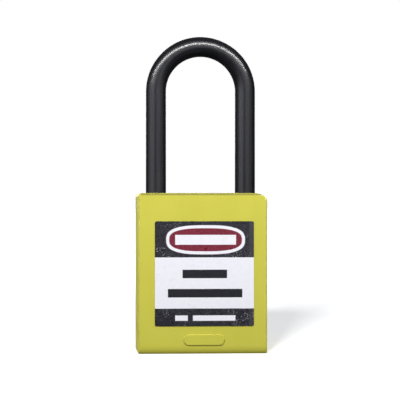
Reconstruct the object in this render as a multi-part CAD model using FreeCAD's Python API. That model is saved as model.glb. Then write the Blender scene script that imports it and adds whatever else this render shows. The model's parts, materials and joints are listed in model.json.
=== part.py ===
import FreeCAD, Part
import math
import os

# Safety padlock, in millimetres. X runs across the front face, Y from the front (-) to
# the back (+), Z up. The origin is the middle of the flat base. The padlock is closed
# and unlocked: the heel (long) leg is at -X, the toe (short) leg at +X.

# Body
BODY_WIDTH = 38.0
BODY_DEPTH = 20.0
BODY_HEIGHT = 47.2
SIDE_WALL = 2.0
FACE_WALL = 1.8
ROOF = 2.5
HEEL_TOP_CORNER = (1.35, 1.35)
TOE_TOP_CORNER = (4.0, 2.3)
FOOT_ROLL = (0.9, 2.4)
SHARP = (0.0, 0.0)
EDGE_ROUND = 0.45
INNER_ROUND = 0.7
QUARTER_PULL = 0.5523
OVERSHOOT = 1.0
TOLERANCE = 1e-6

# Badge pad low on the front, and the sunk panel for a name tag on the back
PAD_LENGTH = 12.0
PAD_HEIGHT = 3.2
PAD_RISE = 0.3
PAD_X = 0.4
PAD_Z = 4.1
PAD_ROUND = 1.57
PAD_SOFTNESS = 0.2
PANEL_WIDTH = 29.0
PANEL_Z = (8.2, 38.9)
PANEL_DEPTH = 0.2
PANEL_ROUND = 1.5

# Label on the front
LABEL_WIDTH = 29.1
LABEL_Z = (8.15, 38.9)
LABEL_X = 0.47
LABEL_THICKNESS = 0.15
LABEL_ROUND = 0.5

# Shackle
SHACKLE_RADIUS = 3.0
LEG_PITCH = 26.6
ARCH_Z = 77.5
HEEL_END_Z = 16.2
TOE_END_Z = 33.6
LEG_CHAMFER = 0.6
LEG_GAP = 0.12
LEG_OPENING_RADIUS = 3.15
LIFT = 14.2
HEEL_X = -LEG_PITCH / 2
TOE_X = LEG_PITCH / 2

# Heel pin, and the flat and the neck on the heel leg that it runs in
HEEL_PIN_RADIUS = 1.0
HEEL_PIN_Z = 34.0
HEEL_PIN_REACH = 6.5
HEEL_PIN_FIT = 0.02
PIN_BITE = 0.9
FLAT_DEPTH = 1.0
PIN_PLAY = 0.1
NECK_HEIGHT = 2.3
HEEL_PIN_X = HEEL_X + SHACKLE_RADIUS - PIN_BITE + HEEL_PIN_RADIUS
FLAT_X = HEEL_X + SHACKLE_RADIUS - FLAT_DEPTH
NECK_Z = HEEL_PIN_Z - LIFT - HEEL_PIN_RADIUS - PIN_PLAY

# Shackle spring and its seat
SEAT_RADIUS = 2.8
SEAT_Z = 3.6
SEAT_THICKNESS = 0.8
SEAT_BOSS_RADIUS = 1.6
SEAT_BOSS_HEIGHT = 1.2
SPRING_WIRE = 0.4
SPRING_RADIUS = 2.25
SPRING_TURNS = 8

# Bottom cover
COVER_Z = (0.2, 2.6)
COVER_GAP = 0.1
LUG_X = 10.0
LUG_SIZE = (4.0, 0.5, 0.8)
LUG_ROOT = 0.3
LUG_Z = 1.2

# Chassis, split into a front and a rear half on Y = 0
CHASSIS_Z = (2.7, 44.5)
CHASSIS_GAP = 0.1
CHASSIS_SCREWS = ((-8.75, 6.0), (8.75, 6.0), (-6.0, 42.4), (6.0, 42.4))
SCREW_RADIUS = 0.8
SCREW_HEAD_RADIUS = 1.35
SCREW_HEAD = 1.2
SCREW_TIP_Y = -5.5
SCREW_PLAY = 0.05
HEAD_PLAY = 0.1
SLOT_WIDTH = 0.4
SLOT_DEPTH = 0.5

# Cover screw, below the toe bore
TOE_WELL_Z = 33.2
DRIVER_WELL_RADIUS = 2.6
COVER_SCREW_Z = (1.3, 8.0)
COVER_SCREW_RADIUS = 1.25
COVER_HEAD_RADIUS = 2.3
COVER_HEAD = 2.0
HEX_RADIUS = 1.15
HEX_DEPTH = 1.2

# Lock cylinder
BARREL_RADIUS = 7.3
BARREL_FLAT = 6.9
BARREL_Z = (0.6, 30.6)
BARREL_GAP = 0.03
PLUG_Y = -2.3
PLUG_RADIUS = 4.0
PLUG_END_Z = 32.2
PLUG_GAP = 0.03
FLANGE_RADIUS = 4.4
FLANGE_HEIGHT = 1.2
TANG = (4.0, 2.0, 1.4)
CLIP_GROOVE_RADIUS = 3.2
CLIP_GROOVE_Z = (30.7, 31.3)
CLIP_RADIUS = 4.9
CLIP_PLAY = 0.05
CLIP_MOUTH = 3.6
KEYWAY_TOP_Z = 28.0
KEYWAY_STEPS = ((-2.6, 0.7, -0.75, 0.5), (0.5, 2.3, -0.3, 0.75), (2.1, 4.6, -0.7, 0.4))

# Pins and chambers, one row of six along Z
PIN_COUNT = 6
FIRST_PIN_Z = 5.5
PIN_PITCH = 3.8
PIN_RADIUS = 1.1
CHAMBER_RADIUS = 1.15
KEY_PIN_LENGTHS = (2.3, 2.9, 2.6, 3.2, 2.4, 3.0)
KEY_PIN_OUTER = 3.8
KEY_PIN_TIP = 0.4
KEY_PIN_POINT = 0.6
CHAMBER_FLOOR = 0.15
DRIVER_PIN_Y = (1.76, 3.96)
DRIVER_CHAMFER = 0.2
CHAMBER_END_Y = 6.5
STRIP_WIDTH = 3.0
STRIP_THICKNESS = 0.6
STRIP_MARGIN = 1.9
PIN_SPRING_WIRE = 0.12
PIN_SPRING_RADIUS = 0.85
PIN_SPRING_TURNS = 4

# Rotor, drive pin and locking bolt
ROTOR_CHAMBER_RADIUS = 5.1
ROTOR_RADIUS = 4.2
ROTOR_Z = (32.3, 35.9)
BOLT_CHANNEL_Z = (36.5, 40.1)
BOLT_CHANNEL_HALF = 3.1
BOLT_CHANNEL_X = -6.5
BOLT_X = (-5.0, 10.1)
BOLT_HALF = 3.0
BOLT_PLAY = 0.1
BOLT_TRAVEL = 2.4
BOLT_SLOT_HALF = 0.98
BOLT_SLOT_Y = (-2.1, 0.4)
BOLT_CHAMFER = 0.5
DRIVE_PIN_RADIUS = 0.9
DRIVE_PIN_Z = (33.9, 39.4)
DRIVE_PIN_PLAY = 0.02
NOTCH_DEPTH = 2.3
NOTCH_PLAY = 0.2

# The drive pin swings from 45 degrees before to 45 degrees after the middle of its arc,
# so its path across is nearly in step with the turn.
DRIVE_PIN_X = -BOLT_TRAVEL / 2
DRIVE_PIN_Y = PLUG_Y + BOLT_TRAVEL / 2

CAVITY_X = BODY_WIDTH / 2 - SIDE_WALL
CAVITY_Y = BODY_DEPTH / 2 - FACE_WALL
PIN_HEIGHTS = [FIRST_PIN_Z + PIN_PITCH * i for i in range(PIN_COUNT)]
UP = FreeCAD.Vector(0, 0, 1)
BACK = FreeCAD.Vector(0, 1, 0)
LEFT = FreeCAD.Vector(-1, 0, 0)


def point(x, y, z):
    return FreeCAD.Vector(x, y, z)


def block(x, y, z):
    """A box between the two ends given along each axis."""
    size = (x[1] - x[0], y[1] - y[0], z[1] - z[0])
    return Part.makeBox(*size, point(x[0], y[0], z[0]))


def rod(radius, z, x=0.0, y=0.0):
    """A cylinder along Z between two heights."""
    return Part.makeCylinder(radius, z[1] - z[0], point(x, y, z[0]), UP)


def cross_rod(radius, y, x, z):
    """A cylinder along Y between two depths."""
    return Part.makeCylinder(radius, y[1] - y[0], point(x, y[0], z), BACK)


def edges_where(shape, test):
    """The edges of a shape whose bounding boxes pass a test."""
    return [edge for edge in shape.Edges if test(edge.BoundBox)]


def upright_edges(shape):
    return edges_where(shape, lambda box: box.XLength + box.YLength < TOLERANCE)


def rounded_block(x, y, z, radius):
    """A box whose four upright edges are rounded."""
    solid = block(x, y, z)
    return solid.makeFillet(radius, upright_edges(solid))


def rounded_plate(x, y, z, radius):
    """A thin plate facing front and back, with its four corners rounded."""
    solid = block(x, y, z)
    corners = edges_where(solid, lambda box: box.XLength + box.ZLength < TOLERANCE)
    return solid.makeFillet(radius, corners)


def coil(mean_radius, wire_radius, length, turns):
    """A coil spring that stands on the origin along Z, made of half turns that each
    climb half a pitch; the half turns meet with their tangents along Y."""
    climb = (length - 2 * wire_radius) / (2 * turns)
    ends = [point(mean_radius * (-1) ** i, 0, wire_radius + climb * i)
            for i in range(2 * turns + 1)]
    half_turns = []
    for i, (start, end) in enumerate(zip(ends, ends[1:])):
        middle = (start + end) * 0.5
        middle.y = (-1) ** i * (end - start).Length / 2
        half_turns.append(Part.Arc(start, middle, end).toShape())
    section = Part.Wire([Part.makeCircle(wire_radius, ends[0], BACK)])
    return Part.Wire(half_turns).makePipeShell([section], True, False)


def save(name, shape):
    """Write one sub-part to its own STEP file."""
    solids = shape.Solids
    result = solids[0] if len(solids) == 1 else Part.makeCompound(solids)
    print(name, len(solids), "solids", round(result.Volume, 2), "mm3", result.isValid())
    result.exportStep("parts/" + name + ".step")


# ---- case ----

def rounded_corner(start, corner, end):
    """A quarter of an ellipse between two points, inside a corner."""
    curve = Part.BezierCurve()
    first = start + (corner - start) * QUARTER_PULL
    second = end + (corner - end) * QUARTER_PULL
    curve.setPoles([start, first, second, end])
    return curve.toShape()


def slab(half_width, height, reaches, thickness):
    """An outline of four corners, from the lower left round, drawn on the ground and
    raised by a thickness; each corner is rounded over its reach across and up."""
    corners = [point(-half_width, 0, 0), point(half_width, 0, 0),
               point(half_width, height, 0), point(-half_width, height, 0)]
    ways = [point(1, 0, 0), point(0, 1, 0), point(-1, 0, 0), point(0, -1, 0)]
    edges = []
    last = None
    for i, (corner, (across, up)) in enumerate(zip(corners, reaches)):
        reach_in, reach_out = (up, across) if i % 2 == 0 else (across, up)
        start = corner - ways[i - 1] * reach_in
        end = corner + ways[i] * reach_out
        if last is None:
            first = start
        else:
            edges.append(Part.LineSegment(last, start).toShape())
        if across > 0:
            edges.append(rounded_corner(start, corner, end))
        last = end
    edges.append(Part.LineSegment(last, first).toShape())
    return Part.Face(Part.Wire(edges)).extrude(point(0, 0, thickness))


def is_outer_edge(box):
    """True for the sharp edges round the front and back, the foot's ends and its sides."""
    at_face = box.YLength < TOLERANCE and abs(abs(box.YMin) - BODY_DEPTH / 2) < TOLERANCE
    at_side = box.XLength < TOLERANCE and abs(abs(box.XMin) - BODY_WIDTH / 2) < TOLERANCE
    foot_line = box.ZLength < TOLERANCE and box.ZMax < BODY_HEIGHT / 2 and box.YLength < TOLERANCE
    foot_side = at_side and box.ZMax < FOOT_ROLL[1] + TOLERANCE
    return (at_face and not foot_line) or foot_side


def outer_form():
    """The body's outside: the front outline and the side outline in common, with the
    edges between them rounded."""
    front = slab(BODY_WIDTH / 2, BODY_HEIGHT, (SHARP, SHARP, TOE_TOP_CORNER, HEEL_TOP_CORNER),
                 BODY_DEPTH)
    front.rotate(point(0, 0, 0), point(1, 0, 0), 90)
    front.translate(point(0, BODY_DEPTH / 2, 0))
    side = slab(BODY_DEPTH / 2, BODY_HEIGHT, (FOOT_ROLL, FOOT_ROLL, SHARP, SHARP), BODY_WIDTH)
    side.rotate(point(0, 0, 0), point(1, 1, 1), 120)
    side.translate(point(-BODY_WIDTH / 2, 0, 0))
    form = front.common(side).removeSplitter()
    return form.makeFillet(EDGE_ROUND, edges_where(form, is_outer_edge))


def badge_pad():
    """A plain raised pad with round ends and a soft rim, low on the front."""
    front = -BODY_DEPTH / 2
    y = (front - PAD_RISE, front + FACE_WALL / 2)
    x = (PAD_X - PAD_LENGTH / 2, PAD_X + PAD_LENGTH / 2)
    z = (PAD_Z - PAD_HEIGHT / 2, PAD_Z + PAD_HEIGHT / 2)
    pad = rounded_plate(x, y, z, PAD_ROUND)
    rim = edges_where(pad, lambda box: box.YLength < TOLERANCE and box.YMax < front)
    return pad.makeFillet(PAD_SOFTNESS, rim)


def back_panel():
    """The shallow sunk panel on the back."""
    back = BODY_DEPTH / 2
    x = (-PANEL_WIDTH / 2, PANEL_WIDTH / 2)
    return rounded_plate(x, (back - PANEL_DEPTH, back + OVERSHOOT), PANEL_Z, PANEL_ROUND)


def lug(x, side, play):
    """A catch of the bottom cover, or with play its pocket in the shell."""
    length, depth, height = LUG_SIZE
    start = CAVITY_Y - COVER_GAP - LUG_ROOT
    reach = CAVITY_Y - COVER_GAP + depth + play
    y = sorted((side * start, side * reach))
    return block((x - length / 2 - play, x + length / 2 + play), y,
                 (LUG_Z - play, LUG_Z + height + play))


def lugs(play):
    solids = [lug(x, side, play) for x in (-LUG_X, LUG_X) for side in (-1, 1)]
    return Part.makeCompound(solids)


def body_shell():
    roof_z = BODY_HEIGHT - ROOF
    shell = outer_form().fuse(badge_pad()).cut(back_panel())
    shell = shell.cut(rounded_block((-CAVITY_X, CAVITY_X), (-CAVITY_Y, CAVITY_Y),
                                    (-OVERSHOOT, roof_z), INNER_ROUND))
    roof = (roof_z - OVERSHOOT, BODY_HEIGHT + OVERSHOOT)
    for x in (HEEL_X, TOE_X):
        shell = shell.cut(rod(LEG_OPENING_RADIUS, roof, x))
    return shell.cut(lugs(COVER_GAP)).removeSplitter()


def barrel_form(grow, z):
    """The lock cylinder's outline: round, with a flat on each side."""
    half = BARREL_FLAT + grow
    flats = block((-half, half), (-2 * BARREL_RADIUS, 2 * BARREL_RADIUS), z)
    return rod(BARREL_RADIUS + grow, z).common(flats)


def bottom_cover():
    x = CAVITY_X - COVER_GAP
    y = CAVITY_Y - COVER_GAP
    cover = rounded_block((-x, x), (-y, y), COVER_Z, INNER_ROUND).fuse(lugs(0))
    cover = cover.cut(barrel_form(2 * BARREL_GAP, (-OVERSHOOT, COVER_Z[1] + OVERSHOOT)))
    thread_z = (COVER_SCREW_Z[0] - SCREW_PLAY, COVER_Z[1] + OVERSHOOT)
    thread = rod(COVER_SCREW_RADIUS + SCREW_PLAY, thread_z, TOE_X)
    return cover.cut(thread).removeSplitter()


def label():
    front = -BODY_DEPTH / 2
    x = (LABEL_X - LABEL_WIDTH / 2, LABEL_X + LABEL_WIDTH / 2)
    return rounded_plate(x, (front - LABEL_THICKNESS, front), LABEL_Z, LABEL_ROUND)


# ---- chassis ----

def leg_channel(x, z):
    """A round channel for a shackle leg, open towards the side of the shell."""
    radius = SHACKLE_RADIUS + LEG_GAP
    outward = sorted((x, math.copysign(CAVITY_X + OVERSHOOT, x)))
    return rod(radius, z, x).fuse(block(outward, (-radius, radius), z))


def screw_holes():
    radius = SCREW_RADIUS + SCREW_PLAY
    head_y = CAVITY_Y - CHASSIS_GAP - SCREW_HEAD
    holes = []
    for x, z in CHASSIS_SCREWS:
        holes.append(cross_rod(radius, (SCREW_TIP_Y - HEAD_PLAY, CAVITY_Y), x, z))
        holes.append(cross_rod(SCREW_HEAD_RADIUS + HEAD_PLAY, (head_y, CAVITY_Y + OVERSHOOT), x, z))
    return holes


def mechanism_space():
    """Everything that is hollow in the chassis, as one list of solids."""
    top = CHASSIS_Z[1] + OVERSHOOT
    bottom = CHASSIS_Z[0] - OVERSHOOT
    return [
        barrel_form(BARREL_GAP, (bottom, CLIP_GROOVE_Z[0])),
        rod(ROTOR_CHAMBER_RADIUS, (CLIP_GROOVE_Z[0], BOLT_CHANNEL_Z[0]), 0, PLUG_Y),
        block((BOLT_CHANNEL_X, TOE_X), (-BOLT_CHANNEL_HALF, BOLT_CHANNEL_HALF), BOLT_CHANNEL_Z),
        leg_channel(HEEL_X, (SEAT_Z, top)),
        leg_channel(TOE_X, (TOE_WELL_Z, top)),
        rod(DRIVER_WELL_RADIUS, (COVER_SCREW_Z[1], TOE_WELL_Z), TOE_X),
        rod(COVER_SCREW_RADIUS + HEAD_PLAY, (bottom, COVER_SCREW_Z[1]), TOE_X),
        heel_pin(HEEL_PIN_FIT),
    ] + screw_holes()


def chassis_half(y):
    x = CAVITY_X - CHASSIS_GAP
    whole_y = CAVITY_Y - CHASSIS_GAP
    half = rounded_block((-x, x), (-whole_y, whole_y), CHASSIS_Z, INNER_ROUND)
    half = half.common(block((-x, x), y, CHASSIS_Z))
    return half.cut(mechanism_space()).removeSplitter()


def slotted_screw(x, z):
    """A pan-head screw that goes in from the back."""
    head_back = CAVITY_Y - CHASSIS_GAP
    head_front = head_back - SCREW_HEAD
    screw = cross_rod(SCREW_RADIUS, (SCREW_TIP_Y, head_front), x, z)
    screw = screw.fuse(cross_rod(SCREW_HEAD_RADIUS, (head_front, head_back), x, z))
    slot = block((x - SCREW_HEAD_RADIUS, x + SCREW_HEAD_RADIUS),
                 (head_back - SLOT_DEPTH, head_back + OVERSHOOT),
                 (z - SLOT_WIDTH / 2, z + SLOT_WIDTH / 2))
    return screw.cut(slot)


def chassis_screws():
    return Part.makeCompound([slotted_screw(x, z) for x, z in CHASSIS_SCREWS])


def cover_screw():
    low, high = COVER_SCREW_Z
    head_top = high + COVER_HEAD
    screw = rod(COVER_SCREW_RADIUS, (low, high), TOE_X)
    screw = screw.fuse(rod(COVER_HEAD_RADIUS, (high, head_top), TOE_X))
    angles = [math.radians(60 * i) for i in range(7)]
    rim = [point(TOE_X + HEX_RADIUS * math.cos(a), HEX_RADIUS * math.sin(a), head_top)
           for a in angles]
    socket = Part.Face(Part.makePolygon(rim)).extrude(point(0, 0, -HEX_DEPTH))
    return screw.cut(socket)


def heel_pin(play):
    """The pin that keeps the heel leg in, or with play the hole that it sits in."""
    reach = (-HEEL_PIN_REACH, HEEL_PIN_REACH)
    return cross_rod(HEEL_PIN_RADIUS + play, reach, HEEL_PIN_X, HEEL_PIN_Z)


# ---- shackle ----

def shackle_bar():
    """The round bar: a straight leg, half a circle and the other straight leg."""
    heel_end = point(HEEL_X, 0, HEEL_END_Z)
    heel_top = point(HEEL_X, 0, ARCH_Z)
    crown = point(0, 0, ARCH_Z + LEG_PITCH / 2)
    toe_top = point(TOE_X, 0, ARCH_Z)
    toe_end = point(TOE_X, 0, TOE_END_Z)
    path = Part.Wire([
        Part.LineSegment(heel_end, heel_top).toShape(),
        Part.Arc(heel_top, crown, toe_top).toShape(),
        Part.LineSegment(toe_top, toe_end).toShape(),
    ])
    section = Part.Wire([Part.makeCircle(SHACKLE_RADIUS, heel_end, UP)])
    return path.makePipeShell([section], True, False)


def shackle():
    bar = shackle_bar()
    ends = edges_where(bar, lambda box: box.ZLength < TOLERANCE and box.ZMax < ARCH_Z - OVERSHOOT)
    bar = bar.makeChamfer(LEG_CHAMFER, ends)
    reach = SHACKLE_RADIUS + OVERSHOOT
    flat = block((FLAT_X, FLAT_X + reach), (-reach, reach),
                 (NECK_Z, HEEL_PIN_Z + HEEL_PIN_RADIUS + PIN_PLAY))
    neck_z = (NECK_Z, NECK_Z + NECK_HEIGHT)
    neck = rod(reach, neck_z, HEEL_X).cut(rod(SHACKLE_RADIUS - FLAT_DEPTH, neck_z, HEEL_X))
    notch_x = TOE_X - SHACKLE_RADIUS + NOTCH_DEPTH
    notch = block((notch_x - reach, notch_x), (-reach, reach),
                  (BOLT_CHANNEL_Z[0] + BOLT_PLAY - NOTCH_PLAY, BOLT_CHANNEL_Z[1] + BOLT_PLAY))
    return bar.cut([flat, neck, notch]).removeSplitter()


def spring_seat():
    top = SEAT_Z + SEAT_THICKNESS
    seat = rod(SEAT_RADIUS, (SEAT_Z, top), HEEL_X)
    boss = rod(SEAT_BOSS_RADIUS, (top, top + SEAT_BOSS_HEIGHT), HEEL_X)
    return seat.fuse(boss).removeSplitter()


def shackle_spring():
    low = SEAT_Z + SEAT_THICKNESS
    spring = coil(SPRING_RADIUS, SPRING_WIRE, HEEL_END_Z - low, SPRING_TURNS)
    spring.translate(point(HEEL_X, 0, low))
    return spring


# ---- lock cylinder ----

def cylinder_body():
    low, high = BARREL_Z
    flange_z = (low - OVERSHOOT, low + FLANGE_HEIGHT + 2 * CLIP_PLAY)
    side_y = BARREL_RADIUS + OVERSHOOT
    body = barrel_form(0, BARREL_Z)
    cuts = [
        rod(PLUG_RADIUS + PLUG_GAP, (low - OVERSHOOT, high + OVERSHOOT), 0, PLUG_Y),
        rod(FLANGE_RADIUS + PLUG_GAP, flange_z, 0, PLUG_Y),
        block((-STRIP_WIDTH / 2, STRIP_WIDTH / 2), (CHAMBER_END_Y, side_y), strip_z()),
    ]
    cuts += [cross_rod(CHAMBER_RADIUS, (PLUG_Y, side_y), 0, z) for z in PIN_HEIGHTS]
    return body.cut(cuts).removeSplitter()


def strip_z():
    return (PIN_HEIGHTS[0] - STRIP_MARGIN, PIN_HEIGHTS[-1] + STRIP_MARGIN)


def chamber_cover():
    """The strip that closes the outer ends of the six chambers."""
    half = STRIP_WIDTH / 2 - CLIP_PLAY
    low, high = strip_z()
    y = (CHAMBER_END_Y, CHAMBER_END_Y + STRIP_THICKNESS)
    return block((-half, half), y, (low + CLIP_PLAY, high - CLIP_PLAY))


def keyway():
    """The stepped slot for the key, open at the face and at the plug's side."""
    z = (BARREL_Z[0] - OVERSHOOT, KEYWAY_TOP_Z)
    steps = []
    for x0, x1, y0, y1 in KEYWAY_STEPS:
        steps.append(block((x0, x1), (PLUG_Y + y0, PLUG_Y + y1), z))
    return steps


def plug_chamber(z):
    """A pin chamber in the plug, from just past its axis out to its side at -X."""
    length = PLUG_RADIUS + OVERSHOOT + CHAMBER_FLOOR
    return Part.makeCylinder(CHAMBER_RADIUS, length, point(CHAMBER_FLOOR, PLUG_Y, z), LEFT)


def tang_form(play, z):
    length, width, _ = TANG
    return block((-length / 2 - play, length / 2 + play),
                 (PLUG_Y - width / 2 - play, PLUG_Y + width / 2 + play), z)


def cylinder_plug():
    low = BARREL_Z[0]
    plug = rod(PLUG_RADIUS, (low, PLUG_END_Z), 0, PLUG_Y)
    plug = plug.fuse(rod(FLANGE_RADIUS, (low, low + FLANGE_HEIGHT), 0, PLUG_Y))
    plug = plug.fuse(tang_form(0, (PLUG_END_Z, PLUG_END_Z + TANG[2])))
    groove = rod(PLUG_RADIUS + OVERSHOOT, CLIP_GROOVE_Z, 0, PLUG_Y)
    groove = groove.cut(rod(CLIP_GROOVE_RADIUS, CLIP_GROOVE_Z, 0, PLUG_Y))
    cuts = [groove] + keyway() + [plug_chamber(z) for z in PIN_HEIGHTS]
    return plug.cut(cuts).removeSplitter()


def plug_clip():
    """An open ring in the plug's groove, behind the cylinder body."""
    low, high = CLIP_GROOVE_Z
    z = (low + CLIP_PLAY, high - CLIP_PLAY)
    ring = rod(CLIP_RADIUS, z, 0, PLUG_Y).cut(rod(CLIP_GROOVE_RADIUS + CLIP_PLAY, z, 0, PLUG_Y))
    mouth = block((0, CLIP_RADIUS + OVERSHOOT),
                  (PLUG_Y - CLIP_MOUTH / 2, PLUG_Y + CLIP_MOUTH / 2), z)
    return ring.cut(mouth)


def key_pin(z, length):
    """A pin in the plug, pointed at the end that rests on the key."""
    flank = length - KEY_PIN_POINT
    pin = Part.makeCylinder(PIN_RADIUS, flank, point(-KEY_PIN_OUTER + flank, PLUG_Y, z), LEFT)
    tip = Part.makeCone(KEY_PIN_TIP, PIN_RADIUS, KEY_PIN_POINT,
                        point(-KEY_PIN_OUTER + length, PLUG_Y, z), LEFT)
    return pin.fuse(tip).removeSplitter()


def driver_pin(z):
    pin = cross_rod(PIN_RADIUS, DRIVER_PIN_Y, 0, z)
    return pin.makeChamfer(DRIVER_CHAMFER, edges_where(pin, lambda box: box.YLength < TOLERANCE))


def pin_spring(z):
    start = DRIVER_PIN_Y[1]
    spring = coil(PIN_SPRING_RADIUS, PIN_SPRING_WIRE, CHAMBER_END_Y - start, PIN_SPRING_TURNS)
    spring.rotate(point(0, 0, 0), point(1, 0, 0), -90)
    spring.translate(point(0, start, z))
    return spring


# ---- rotor and bolt ----

def rotor():
    low, high = ROTOR_Z
    disc = rod(ROTOR_RADIUS, ROTOR_Z, 0, PLUG_Y)
    tang_slot = tang_form(BOLT_PLAY / 2, (low - OVERSHOOT, PLUG_END_Z + TANG[2] + BOLT_PLAY))
    pin_z = (DRIVE_PIN_Z[0], high + OVERSHOOT)
    pin_hole = rod(DRIVE_PIN_RADIUS + DRIVE_PIN_PLAY, pin_z, DRIVE_PIN_X, DRIVE_PIN_Y)
    return disc.cut([tang_slot, pin_hole]).removeSplitter()


def drive_pin():
    return rod(DRIVE_PIN_RADIUS, DRIVE_PIN_Z, DRIVE_PIN_X, DRIVE_PIN_Y)


def locking_bolt():
    z = (BOLT_CHANNEL_Z[0] + BOLT_PLAY, BOLT_CHANNEL_Z[1] - BOLT_PLAY)
    bolt = block(BOLT_X, (-BOLT_HALF, BOLT_HALF), z)
    nose = edges_where(bolt, lambda box: box.XMin > BOLT_X[1] - TOLERANCE and box.YLength < TOLERANCE)
    bolt = bolt.makeChamfer(BOLT_CHAMFER, nose)
    slot_x = (DRIVE_PIN_X - BOLT_SLOT_HALF, DRIVE_PIN_X + BOLT_SLOT_HALF)
    return bolt.cut(block(slot_x, BOLT_SLOT_Y, z))


def main():
    os.makedirs("parts", exist_ok=True)
    save("body_shell", body_shell())
    save("bottom_cover", bottom_cover())
    save("label", label())
    half = CAVITY_Y - CHASSIS_GAP
    save("chassis_front", chassis_half((-half, 0)))
    save("chassis_rear", chassis_half((0, half)))
    save("chassis_screws", chassis_screws())
    save("cover_screw", cover_screw())
    save("heel_pin", heel_pin(0))
    save("shackle", shackle())
    save("spring_seat", spring_seat())
    save("shackle_spring", shackle_spring())
    save("cylinder_body", cylinder_body())
    save("chamber_cover", chamber_cover())
    save("cylinder_plug", cylinder_plug())
    save("plug_clip", plug_clip())
    save("rotor", rotor())
    save("drive_pin", drive_pin())
    save("locking_bolt", locking_bolt())
    for number, z in enumerate(PIN_HEIGHTS, start=1):
        save("key_pin_" + str(number), key_pin(z, KEY_PIN_LENGTHS[number - 1]))
        save("driver_pin_" + str(number), driver_pin(z))
        save("pin_spring_" + str(number), pin_spring(z))


main()
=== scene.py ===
import json
import math

import bpy
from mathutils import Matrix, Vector


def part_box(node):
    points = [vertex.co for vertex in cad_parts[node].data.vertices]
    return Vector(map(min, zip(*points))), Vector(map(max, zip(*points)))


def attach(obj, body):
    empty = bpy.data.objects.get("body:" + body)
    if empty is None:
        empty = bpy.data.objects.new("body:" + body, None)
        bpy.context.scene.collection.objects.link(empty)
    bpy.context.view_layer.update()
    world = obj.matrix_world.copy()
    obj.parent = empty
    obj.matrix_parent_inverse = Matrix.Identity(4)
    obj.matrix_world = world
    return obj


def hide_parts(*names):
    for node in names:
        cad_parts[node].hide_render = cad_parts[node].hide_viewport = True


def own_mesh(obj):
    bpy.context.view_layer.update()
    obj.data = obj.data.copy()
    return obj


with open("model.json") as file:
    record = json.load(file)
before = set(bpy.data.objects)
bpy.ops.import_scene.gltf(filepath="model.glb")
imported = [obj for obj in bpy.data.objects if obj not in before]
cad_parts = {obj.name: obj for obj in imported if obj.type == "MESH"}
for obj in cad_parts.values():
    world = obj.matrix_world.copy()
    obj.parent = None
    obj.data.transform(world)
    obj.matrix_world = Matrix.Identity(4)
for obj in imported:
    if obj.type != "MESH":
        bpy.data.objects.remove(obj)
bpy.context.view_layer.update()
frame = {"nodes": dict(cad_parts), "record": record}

# Lengths are in millimetres. Multiplied by MM they are in metres, as Blender holds them.
MM = 0.001

WHITE = (1.0, 1.0, 1.0, 1.0)
PIN_NUMBERS = range(1, 7)


# ---- camera ----

CAMERA_AIM = (-0.14, 0.0, 45.14)
CAMERA_DISTANCE = 600.0
CAMERA_TURN = 4.0
CAMERA_LENS = 181.0
CAMERA_CLIP = (10.0, 100000.0)


def around(turn, distance, height):
    """A place round the padlock, where a turn of 0 is in front of it and 90 is on its right."""
    angle = math.radians(turn)
    return Vector((distance * math.sin(angle), -distance * math.cos(angle), height))


def add_camera():
    """A long lens at half the padlock's height, a little to the left of straight on."""
    data = bpy.data.cameras.new("camera")
    data.lens = CAMERA_LENS
    data.clip_start, data.clip_end = (reach * MM for reach in CAMERA_CLIP)
    camera = bpy.data.objects.new("camera", data)
    bpy.context.scene.collection.objects.link(camera)
    back = around(-CAMERA_TURN, CAMERA_DISTANCE, 0.0)
    camera.location = (Vector(CAMERA_AIM) + back) * MM
    camera.rotation_euler = (-back).to_track_quat("-Z", "Y").to_euler()
    bpy.context.scene.camera = camera


# ---- lamps ----

NEUTRAL = (1.0, 1.0, 1.0)
COOL = (0.97, 0.98, 1.08)
MIDDLE = (0, 0, 50)

# Each lamp's name, the group that it lights, its place and aim, its width and height, its power
# in watts, and its colour
LAMPS = [
    ("top_bar", "padlock", (-40, -150, 203), (-40, 0, 60), (520, 14), 0.95, NEUTRAL),
    ("side_left", "padlock", around(-49, 600, 150), MIDDLE, (720, 300), 0.54, COOL),
    ("side_right", "padlock", around(23, 600, 150), MIDDLE, (560, 300), 0.31, COOL),
    ("rim_left", "padlock", around(-95, 600, 150), MIDDLE, (320, 300), 0.07, COOL),
    ("rim_right", "padlock", around(66, 600, 150), MIDDLE, (320, 300), 0.09, COOL),
    ("back_box", "padlock", around(180, 650, 220), MIDDLE, (420, 300), 1.2, NEUTRAL),
    ("back_left", "case", around(-125, 600, 210), MIDDLE, (400, 320), 1.8, NEUTRAL),
    ("back_right", "case", around(125, 600, 210), MIDDLE, (400, 320), 1.8, NEUTRAL),
    ("floor_wash", "floor", (-330, -1750, 430), (0, 0, 20), (150, 90), 60.0, NEUTRAL),
]


def add_area_light(name, place, aim, size, power, colour):
    """A rectangular lamp at a place, turned to its aim."""
    data = bpy.data.lights.new(name, "AREA")
    data.shape = "RECTANGLE"
    data.size, data.size_y = (side * MM for side in size)
    data.energy = power
    data.color = colour
    lamp = bpy.data.objects.new(name, data)
    bpy.context.scene.collection.objects.link(lamp)
    lamp.location = Vector(place) * MM
    direction = Vector(aim) - Vector(place)
    lamp.rotation_euler = direction.to_track_quat("-Z", "Y").to_euler()
    lamp.visible_camera = False
    return lamp


def light_group(name, objects, state):
    """The only objects that a lamp lights, or with EXCLUDE the only ones that it leaves out."""
    group = bpy.data.collections.new(name)
    for thing in objects:
        group.objects.link(thing)
    for entry in group.collection_objects:
        entry.light_linking.link_state = state
    return group


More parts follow.
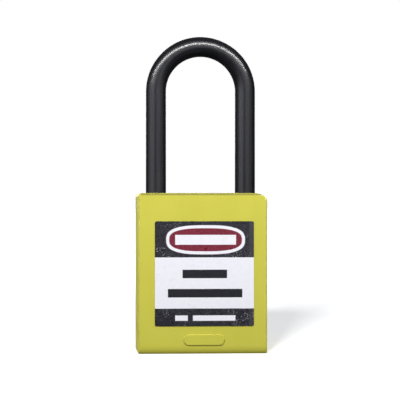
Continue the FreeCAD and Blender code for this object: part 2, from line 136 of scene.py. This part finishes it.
def add_lights(floor):
    shackle = frame["nodes"]["shackle"]
    groups = {
        "padlock": light_group("all_but_floor", [floor], "EXCLUDE"),
        "case": light_group("all_but_floor_and_shackle", [floor, shackle], "EXCLUDE"),
        "floor": light_group("floor_only", [floor], "INCLUDE"),
    }
    for name, lit, place, aim, size, power, colour in LAMPS:
        lamp = add_area_light(name, place, aim, size, power, colour)
        lamp.light_linking.receiver_collection = groups[lit]


# ---- floor and world ----

FLOOR_SIZE = 12000.0
FLOOR_BACK = 3600.0
FLOOR_TONE = (0.9, 0.9, 0.9, 1.0)
GLOW_REACH = (200.0, 550.0)
GLOW = (0.55, 1.05)
ROOM_TINT = (0.92, 0.95, 1.0, 1.0)
ROOM_LIGHT = 0.225
ROOM_MIRRORED = 0.03


def add_floor():
    """A pale floor that glows more away from the padlock, so that it meets the white background."""
    place = Vector((0, FLOOR_BACK, 0)) * MM
    bpy.ops.mesh.primitive_plane_add(size=FLOOR_SIZE * MM, location=place)
    floor = bpy.context.object
    floor.name = "floor"
    floor.visible_diffuse = False
    floor.visible_glossy = False
    graph = Graph("pale_floor")
    graph.set("Base Color", FLOOR_TONE)
    graph.set("Roughness", 1.0)
    graph.set("Specular IOR Level", 0.0)
    graph.set("Emission Color", WHITE)
    reach = graph.vector_math("DISTANCE", graph.join(graph.x, graph.y, 0.0), (0.0, -FLOOR_BACK, 0.0))
    graph.set("Emission Strength", graph.ramp(reach.outputs["Value"], *GLOW_REACH, *GLOW))
    floor.data.materials.append(graph.material)
    return floor


def background(tree, colour, strength):
    node = tree.nodes.new("ShaderNodeBackground")
    node.inputs["Color"].default_value = colour
    node.inputs["Strength"].default_value = strength
    return node.outputs[0]


def for_rays(tree, kind, usual, special):
    """The special light for one kind of ray, and the usual light for the others."""
    path = tree.nodes.new("ShaderNodeLightPath")
    mix = tree.nodes.new("ShaderNodeMixShader")
    tree.links.new(path.outputs[kind], mix.inputs[0])
    tree.links.new(usual, mix.inputs[1])
    tree.links.new(special, mix.inputs[2])
    return mix.outputs[0]


def add_world():
    """White behind the padlock, a dim room that lights it, and a dark one that it mirrors."""
    world = bpy.data.worlds.new("studio")
    bpy.context.scene.world = world
    world.use_nodes = True
    tree = world.node_tree
    tree.nodes.clear()
    seen = background(tree, WHITE, 1.0)
    room = background(tree, ROOM_TINT, ROOM_LIGHT)
    mirrored = background(tree, ROOM_TINT, ROOM_MIRRORED)
    lighting = for_rays(tree, "Is Glossy Ray", room, mirrored)
    output = tree.nodes.new("ShaderNodeOutputWorld")
    tree.links.new(for_rays(tree, "Is Camera Ray", lighting, seen), output.inputs[0])


# ---- node trees ----

class Graph:
    """A material with one Principled shader, and short calls for the nodes in front of it."""

    def __init__(self, name):
        self.material = bpy.data.materials.new(name)
        self.material.use_nodes = True
        self.tree = self.material.node_tree
        self.tree.nodes.clear()
        self.shader = self.tree.nodes.new("ShaderNodeBsdfPrincipled")
        output = self.tree.nodes.new("ShaderNodeOutputMaterial")
        self.tree.links.new(self.shader.outputs[0], output.inputs[0])
        place = self.tree.nodes.new("ShaderNodeTexCoord").outputs["Object"]
        self.place = self.scale(place, (1 / MM,) * 3)
        split = self.tree.nodes.new("ShaderNodeSeparateXYZ")
        self.tree.links.new(self.place, split.inputs[0])
        self.x, self.y, self.z = split.outputs

    def put(self, socket, value):
        """Links a value that is an output, and sets one that is a number or colour."""
        if isinstance(value, bpy.types.NodeSocket):
            self.tree.links.new(value, socket)
        else:
            socket.default_value = value

    def set(self, name, value):
        self.put(self.shader.inputs[name], value)

    def math(self, operation, *values):
        node = self.tree.nodes.new("ShaderNodeMath")
        node.operation = operation
        for socket, value in zip(node.inputs, values):
            self.put(socket, value)
        return node.outputs[0]

    def times(self, first, second):
        return self.math("MULTIPLY", first, second)

    def plus(self, first, second):
        return self.math("ADD", first, second)

    def minus(self, first, second):
        return self.math("SUBTRACT", first, second)

    def distance(self, first, second):
        """How far two numbers are apart."""
        return self.math("ABSOLUTE", self.minus(first, second))

    def length(self, across, up):
        """The distance of a point from the origin of its plane."""
        return self.math("SQRT", self.plus(self.times(across, across), self.times(up, up)))

    def vector_math(self, operation, first, second):
        node = self.tree.nodes.new("ShaderNodeVectorMath")
        node.operation = operation
        self.put(node.inputs[0], first)
        self.put(node.inputs[1], second)
        return node

    def scale(self, vector, factors):
        return self.vector_math("MULTIPLY", vector, factors).outputs[0]

    def join(self, x, y, z):
        node = self.tree.nodes.new("ShaderNodeCombineXYZ")
        for socket, value in zip(node.inputs, (x, y, z)):
            self.put(socket, value)
        return node.outputs[0]

    def ramp(self, value, start, end, low=0.0, high=1.0):
        """A smooth step from low to high as the value goes from start to end."""
        node = self.tree.nodes.new("ShaderNodeMapRange")
        node.interpolation_type = "SMOOTHSTEP"
        for socket, number in zip(node.inputs, (value, start, end, low, high)):
            self.put(socket, number)
        return node.outputs[0]

    def blend(self, share, first, second):
        """A colour between two, by a share from 0 to 1."""
        node = self.tree.nodes.new("ShaderNodeMix")
        node.data_type = "RGBA"
        self.put(node.inputs["Factor"], share)
        self.put(node.inputs[6], first)
        self.put(node.inputs[7], second)
        return node.outputs[2]

    def noise(self, size, detail=2.0, stretch=(1.0, 1.0, 1.0), vector=None, roughness=0.5):
        """Noise from about 0 to 1 whose patches are about so many millimetres across."""
        node = self.tree.nodes.new("ShaderNodeTexNoise")
        source = self.place if vector is None else vector
        self.put(node.inputs["Vector"], self.scale(source, stretch))
        node.inputs["Scale"].default_value = 1.0 / size
        node.inputs["Detail"].default_value = detail
        node.inputs["Roughness"].default_value = roughness
        return node.outputs[0]

    def cells(self, size):
        """Distance to the nearest of many scattered points, and a random colour for each."""
        node = self.tree.nodes.new("ShaderNodeTexVoronoi")
        self.put(node.inputs["Vector"], self.place)
        node.inputs["Scale"].default_value = 1.0 / size
        return node.outputs["Distance"], node.outputs["Color"]

    def bump(self, height, depth, strength=1.0, under=None):
        """Relief from a height of 0 to 1 that stands for so many millimetres."""
        node = self.tree.nodes.new("ShaderNodeBump")
        node.inputs["Strength"].default_value = strength
        node.inputs["Distance"].default_value = depth * MM
        self.put(node.inputs["Height"], height)
        if under is not None:
            self.put(node.inputs["Normal"], under)
        return node.outputs[0]


def grey(level):
    return (level, level, level, 1.0)


def box_in_mm(node):
    """The lowest and highest corners of a CAD node."""
    low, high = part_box(node)
    return low / MM, high / MM


def gaps_inside(graph, node):
    """How far a place lies inside a block-shaped node's nearer side, along each axis."""
    low, high = box_in_mm(node)
    gaps = []
    for place, start, end in zip((graph.x, graph.y, graph.z), low, high):
        gaps.append(graph.minus((end - start) / 2, graph.distance(place, (start + end) / 2)))
    return gaps


def edge_share(graph, gap, other_gap, span):
    """From 0 on the faces to 1 along the edges, where two gaps are both small."""
    near, far = span
    return graph.ramp(graph.math("MAXIMUM", gap, other_gap), far, near)


# ---- body ----

BODY_TONE = (0.615, 0.578, 0.067, 1.0)
BODY_DEEP = (0.550, 0.515, 0.053, 1.0)
BODY_RUBBED = (0.670, 0.640, 0.140, 1.0)
# Painted shade: the dark tone laid along the body's edges, most of it along the top edge
BODY_EDGE_SHADE = (0.085, 0.078, 0.016, 1.0)
DEEP_SHARE = 0.35
RUBBED_SHARE = 0.3
# How much of the painted edge shade is laid on, and how much rougher the edges get under it
EDGE_SHADE_SHARE = 0.85
EDGE_SHADE_DULLNESS = 0.35
UPRIGHT_SHARE = 0.6
# Extra painted shade along the top edge, fading in between the two heights below
CREST_SHARE = 0.75
# How near an edge each effect is full, and how far from it the effect ends
RUBBED_SPAN = (0.30, 1.2)
LEVEL_SPAN = (0.20, 0.65)
UPRIGHT_SPAN = (0.15, 0.50)
CREST_SPAN = (0.35, 0.85)
CREST_HEIGHT = (20.0, 30.0)


def painted_edge_shade(graph, gap_x, gap_y, gap_z):
    """Painted shade along the edges of the front and back, darker still along the top."""
    level = edge_share(graph, gap_y, gap_z, LEVEL_SPAN)
    upright = edge_share(graph, gap_x, gap_y, UPRIGHT_SPAN)
    upper = graph.ramp(graph.z, *CREST_HEIGHT, 0.0, CREST_SHARE)
    crest = graph.times(edge_share(graph, gap_y, gap_z, CREST_SPAN), upper)
    return graph.math("MAXIMUM", graph.math("MAXIMUM", level, crest), graph.times(upright, UPRIGHT_SHARE))


def body_plastic():
    """Yellow-green moulded nylon: a fine spark-eroded grain, faint flow marks, rubbed edges, and painted
    shade along the edges.
    """
    graph = Graph("body_plastic")
    gap_x, gap_y, gap_z = gaps_inside(graph, "body_shell")
    cloud = graph.ramp(graph.noise(9.0, 3.0, (1.0, 1.0, 0.45)), 0.35, 0.70)
    colour = graph.blend(graph.times(cloud, DEEP_SHARE), BODY_TONE, BODY_DEEP)
    patches = graph.ramp(graph.noise(1.3, 3.0), 0.45, 0.75)
    rubbed = graph.times(edge_share(graph, gap_x, gap_y, RUBBED_SPAN), patches)
    colour = graph.blend(graph.times(rubbed, RUBBED_SHARE), colour, BODY_RUBBED)
    # Painted shade: the edges darken towards a shade tone, most along the top, and are rougher there as
    # well
    edge_shade = painted_edge_shade(graph, gap_x, gap_y, gap_z)
    graph.set("Base Color", graph.blend(graph.times(edge_shade, EDGE_SHADE_SHARE), colour, BODY_EDGE_SHADE))
    handled = graph.ramp(graph.noise(5.0, 4.0), 0.3, 0.75, 0.36, 0.52)
    graph.set("Roughness", graph.plus(handled, graph.times(edge_shade, EDGE_SHADE_DULLNESS)))
    graph.set("Specular IOR Level", 0.45)
    grain = graph.noise(0.16, 2.0)
    flow = graph.noise(6.0, 1.0, (1.0, 1.0, 0.5))
    relief = graph.bump(flow, 0.10, 0.35)
    graph.set("Normal", graph.bump(grain, 0.012, 0.45, relief))
    return graph.material


# ---- shackle and bottom cover ----

BAR_TONE = (0.004, 0.004, 0.006, 1.0)
BAR_STREAK = (0.009, 0.009, 0.012, 1.0)
BAR_SCUFF = (0.040, 0.040, 0.046, 1.0)
SCUFF_SHARE = 0.35
SCUFF_DULLNESS = 0.04
LEG_SHIFT = 40.0
COVER_TONE = (0.018, 0.018, 0.020, 1.0)
COVER_PALE = (0.030, 0.030, 0.033, 1.0)
COVER_WORN = (0.10, 0.10, 0.105, 1.0)
COVER_WORN_SHARE = 0.3
COVER_WORN_SPAN = (0.1, 0.6)


def along_bar(graph):
    """Coordinates of the shackle bar: out from its middle line, across it, and along it."""
    low, high = box_in_mm("shackle")
    radius = (high.y - low.y) / 2
    pitch = (high.x - low.x) / 2 - radius
    crown = high.z - radius - pitch
    rise = graph.math("MAXIMUM", graph.minus(graph.z, crown), 0.0)
    out = graph.minus(graph.length(graph.x, rise), pitch)
    bend = graph.math("ARCTAN2", rise, graph.math("ABSOLUTE", graph.x))
    along = graph.plus(graph.times(bend, pitch), graph.z)
    side = graph.times(graph.math("SIGN", graph.x), LEG_SHIFT)
    return out, graph.plus(graph.y, side), along


def shackle_plastic():
    """Near-black nylon bar with fine streaks along it and a few dull scuffs."""
    graph = Graph("shackle_plastic")
    bar = graph.join(*along_bar(graph))
    streaks = graph.noise(0.42, 3.0, (1.0, 1.0, 0.030), bar)
    scuffs = graph.ramp(graph.noise(2.2, 5.0, (1.0, 1.0, 0.35), bar, 0.65), 0.60, 0.72)
    colour = graph.blend(graph.ramp(streaks, 0.35, 0.70), BAR_TONE, BAR_STREAK)
    graph.set("Base Color", graph.blend(graph.times(scuffs, SCUFF_SHARE), colour, BAR_SCUFF))
    mottle = graph.ramp(graph.noise(1.6, 4.0), 0.3, 0.7, 0.28, 0.32)
    graph.set("Roughness", graph.plus(mottle, graph.times(scuffs, SCUFF_DULLNESS)))
    graph.set("Specular IOR Level", 1.0)
    relief = graph.bump(streaks, 0.006, 0.06)
    graph.set("Normal", graph.bump(graph.noise(0.35, 1.0), 0.004, 0.05, relief))
    return graph.material


def cover_plastic():
    """Black moulded plastic with a coarser matt grain and worn edges."""
    graph = Graph("cover_plastic")
    mottle = graph.ramp(graph.noise(3.0, 4.0), 0.35, 0.7)
    colour = graph.blend(mottle, COVER_TONE, COVER_PALE)
    gap_x, gap_y, gap_z = gaps_inside(graph, "bottom_cover")
    worn = edge_share(graph, gap_z, graph.math("MINIMUM", gap_x, gap_y), COVER_WORN_SPAN)
    graph.set("Base Color", graph.blend(graph.times(worn, COVER_WORN_SHARE), colour, COVER_WORN))
    graph.set("Roughness", graph.ramp(graph.noise(2.0, 3.0), 0.3, 0.7, 0.48, 0.62))
    graph.set("Normal", graph.bump(graph.noise(0.22, 2.0), 0.02, 0.6))
    return graph.material


# ---- label ----

LABEL_FOOT = 5.15
LABEL_HEAD = 10.6
PRINT_EDGE = 0.05
PRINT_WOBBLE = 0.05
OVAL_HALF_WIDTH = 11.6
OVAL_HALF_HEIGHT = 4.28
OVAL_RIGHT = 0.33
OVAL_DOWN = 0.13
OVAL_RING = 0.9
OVAL_SQUARENESS = 2.8
OVAL_BAR = (17.9, 2.9)
STRIP = (1.5, 1.3)
STRIP_SHARE = 0.35

# Plain bars in place of words: middle across, middle up, width and height
INK_BARS = [(0.1, 15.3, 13.1, 2.5), (0.2, 9.65, 21.9, 2.5)]
WHITE_BARS = [(-6.75, 2.35, 3.7, 1.6), (2.85, 2.35, 12.5, 1.6)]

INK = (0.010, 0.010, 0.015, 1.0)
INK_PALE = (0.018, 0.018, 0.024, 1.0)
DARK_PALE = (0.060, 0.059, 0.070, 1.0)
DOT_PALE = (0.50, 0.49, 0.55, 1.0)
STRIP_TONE = (0.095, 0.085, 0.090, 1.0)
PAPER = (0.895, 0.885, 0.925, 1.0)
PAPER_DULL = (0.870, 0.860, 0.905, 1.0)
RED = (0.170, 0.010, 0.026, 1.0)
RED_PALE = (0.300, 0.028, 0.060, 1.0)


class Print:
    """Printed shapes on the label, placed by u across from its middle and v up from its foot."""

    def __init__(self, graph):
        self.graph = graph
        low, high = box_in_mm("label")
        wobble = graph.times(graph.minus(graph.noise(0.5, 2.0), 0.5), PRINT_WOBBLE)
        self.u = graph.plus(graph.minus(graph.x, (low.x + high.x) / 2), wobble)
        self.v = graph.plus(graph.minus(graph.z, low.z), wobble)
        self.half_width = (high.x - low.x) / 2
        self.head = high.z - low.z - LABEL_HEAD
        self.oval_v = self.head + LABEL_HEAD / 2 - OVAL_DOWN

    def inside(self, beyond):
        """1 inside a shape, from how far beyond its outline a place is."""
        return self.graph.ramp(beyond, PRINT_EDGE, -PRINT_EDGE)

    def bar(self, u, v, width, height):
        graph = self.graph
        across = graph.minus(graph.distance(self.u, u), width / 2)
        up = graph.minus(graph.distance(self.v, v), height / 2)
        return self.inside(graph.math("MAXIMUM", across, up))

    def oval(self, shrink):
        """An oval with fuller corners than an ellipse has."""
        graph = self.graph
        half_width = OVAL_HALF_WIDTH - shrink
        half_height = OVAL_HALF_HEIGHT - shrink
        across = graph.math("DIVIDE", graph.distance(self.u, OVAL_RIGHT), half_width)
        up = graph.math("DIVIDE", graph.distance(self.v, self.oval_v), half_height)
        powers = [graph.math("POWER", part, OVAL_SQUARENESS) for part in (across, up)]
        reach = graph.math("POWER", graph.plus(*powers), 1 / OVAL_SQUARENESS)
        return self.inside(graph.times(graph.minus(reach, 1.0), half_height))

    def white_band(self):
        graph = self.graph
        above_foot = graph.ramp(self.v, LABEL_FOOT - PRINT_EDGE, LABEL_FOOT + PRINT_EDGE)
        below_head = graph.ramp(self.v, self.head + PRINT_EDGE, self.head - PRINT_EDGE)
        return graph.times(above_foot, below_head)

    def strip(self):
        """A paler strip at the right end of the dark bands."""
        start, end = (self.half_width - gap for gap in STRIP)
        return self.graph.ramp(self.u, start, end)


def dark_ink(graph, printed, specks):
    """Dark print with pale specks, and small white dots in clusters."""
    colour = graph.blend(specks, INK, DARK_PALE)
    distance, chance = graph.cells(0.50)
    clusters = graph.ramp(graph.noise(4.0, 2.0), 0.48, 0.66)
    dots = graph.times(graph.ramp(distance, 0.34, 0.16), graph.ramp(chance, 0.55, 0.70))
    colour = graph.blend(graph.times(dots, clusters), colour, DOT_PALE)
    return graph.blend(graph.times(printed.strip(), STRIP_SHARE), colour, STRIP_TONE)


def label_colour(graph):
    """Dark head with a red oval, white middle, dark foot, and bars in place of words."""
    printed = Print(graph)
    mottle = graph.noise(1.1, 4.0)
    specks = graph.ramp(graph.noise(0.42, 3.0), 0.42, 0.74)
    ink = graph.blend(mottle, INK, INK_PALE)
    white = graph.blend(graph.ramp(mottle, 0.3, 0.7), PAPER, PAPER_DULL)
    red = graph.blend(specks, RED, RED_PALE)
    colour = graph.blend(printed.white_band(), dark_ink(graph, printed, specks), white)
    colour = graph.blend(printed.oval(0.0), colour, white)
    colour = graph.blend(printed.oval(OVAL_RING), colour, red)
    colour = graph.blend(printed.bar(OVAL_RIGHT, printed.oval_v, *OVAL_BAR), colour, white)
    for place in INK_BARS:
        colour = graph.blend(printed.bar(*place), colour, ink)
    for place in WHITE_BARS:
        colour = graph.blend(printed.bar(*place), colour, white)
    return colour


def label_film():
    """Printed vinyl with a soft gloss and faint ripples."""
    graph = Graph("label_film")
    graph.set("Base Color", label_colour(graph))
    graph.set("Roughness", graph.ramp(graph.noise(2.5, 3.0), 0.3, 0.7, 0.26, 0.40))
    graph.set("Specular IOR Level", 0.5)
    graph.set("Coat Weight", 0.25)
    graph.set("Coat Roughness", 0.18)
    ripple = graph.bump(graph.noise(3.5, 2.0), 0.03, 0.3)
    graph.set("Normal", graph.bump(graph.noise(0.30, 3.0), 0.010, 0.4, ripple))
    return graph.material


# ---- metals ----

EVEN = (1.0, 1.0, 1.0)
UPRIGHT = (1.0, 1.0, 0.05)
BRASS = (0.72, 0.54, 0.25, 1.0)
BRASS_DEEP = (0.60, 0.44, 0.19, 1.0)
FACED_BRASS = (0.74, 0.55, 0.25, 1.0)
FACED_BRASS_DEEP = (0.62, 0.45, 0.19, 1.0)
BRASS_STAIN = (0.42, 0.29, 0.12, 1.0)
STAIN_SHARE = 0.4
STAIN_DARKNESS = 0.72

# Each material slot's metal: its name, two tones, roughness, the stretch and size in millimetres
# of its streaks, and their depth
METALS = {
    "chassis_metal": ("cast_zinc", grey(0.42), grey(0.36), 0.55, EVEN, 0.5, 0.03),
    "screw_steel": ("plated_screw", grey(0.60), grey(0.50), 0.30, EVEN, 0.3, 0.01),
    "spring_steel": ("spring_wire", grey(0.55), grey(0.45), 0.28, EVEN, 0.2, 0.01),
    "hard_steel": ("ground_steel", grey(0.50), grey(0.42), 0.32, UPRIGHT, 0.25, 0.01),
    "lock_brass": ("drawn_brass", BRASS, BRASS_DEEP, 0.30, UPRIGHT, 0.3, 0.01),
}


def metal(name, tone, shade, roughness, stretch, size, depth):
    """Bare metal: two tones, streaks stretched along one way, and fine marks in relief."""
    graph = Graph(name)
    streaks = graph.noise(size, 3.0, stretch)
    stains = graph.ramp(graph.noise(2.4, 4.0), 0.4, 0.75)
    colour = graph.blend(graph.ramp(streaks, 0.3, 0.7), tone, shade)
    dull = tuple(part * STAIN_DARKNESS for part in tone[:3]) + (1.0,)
    graph.set("Base Color", graph.blend(graph.times(stains, STAIN_SHARE), colour, dull))
    graph.set("Metallic", 1.0)
    graph.set("Roughness", graph.ramp(streaks, 0.25, 0.75, roughness - 0.06, roughness + 0.10))
    graph.set("Normal", graph.bump(streaks, depth, 0.5))
    return graph.material


def faced_brass():
    """Brass faced on a lathe: fine rings about the plug's axis, and stains between them."""
    graph = Graph("turned_brass")
    low, high = box_in_mm("cylinder_plug")
    centre = (low + high) / 2
    radius = graph.length(graph.minus(graph.x, centre.x), graph.minus(graph.y, centre.y))
    rings = graph.noise(0.14, 2.0, EVEN, graph.join(radius, 0.0, 0.0))
    stains = graph.ramp(graph.noise(1.8, 4.0), 0.42, 0.75)
    colour = graph.blend(graph.ramp(rings, 0.3, 0.7), FACED_BRASS, FACED_BRASS_DEEP)
    graph.set("Base Color", graph.blend(graph.times(stains, 0.5), colour, BRASS_STAIN))
    graph.set("Metallic", 1.0)
    graph.set("Roughness", graph.ramp(stains, 0.0, 1.0, 0.24, 0.42))
    graph.set("Normal", graph.bump(rings, 0.012, 0.6))
    return graph.material


# ---- pieces ----

def assign(material, *names):
    for name in names:
        mesh = frame["nodes"][name].data
        mesh.materials.clear()
        mesh.materials.append(material)


def nodes_of(slot):
    """The CAD nodes that take their finish from a slot of the record."""
    return [part["node"] for part in frame["record"]["subparts"] if part["material_slot"] == slot]


def dress_nodes():
    assign(body_plastic(), "body_shell")
    assign(shackle_plastic(), "shackle")
    assign(cover_plastic(), "bottom_cover")
    assign(label_film(), "label")
    for slot, finish in METALS.items():
        assign(metal(*finish), *nodes_of(slot))
    assign(faced_brass(), "cylinder_plug", "cylinder_body")
    # The bright body would tint the glossy bar above it.
    frame["nodes"]["body_shell"].visible_glossy = False


def soften_pin_springs():
    """Copies of the springs behind the driver pins, each with its own mesh and carried by the case, in
    place of the CAD springs.
    """
    for number in PIN_NUMBERS:
        node = f"pin_spring_{number}"
        spring = bpy.data.objects.new(f"soft_{node}", frame["nodes"][node].data.copy())
        bpy.context.scene.collection.objects.link(spring)
        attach(spring, "case")
        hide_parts(node)
        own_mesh(spring)


add_camera()
add_world()
add_lights(add_floor())
dress_nodes()
soften_pin_springs()

bpy.context.scene.view_settings.view_transform = "Standard"
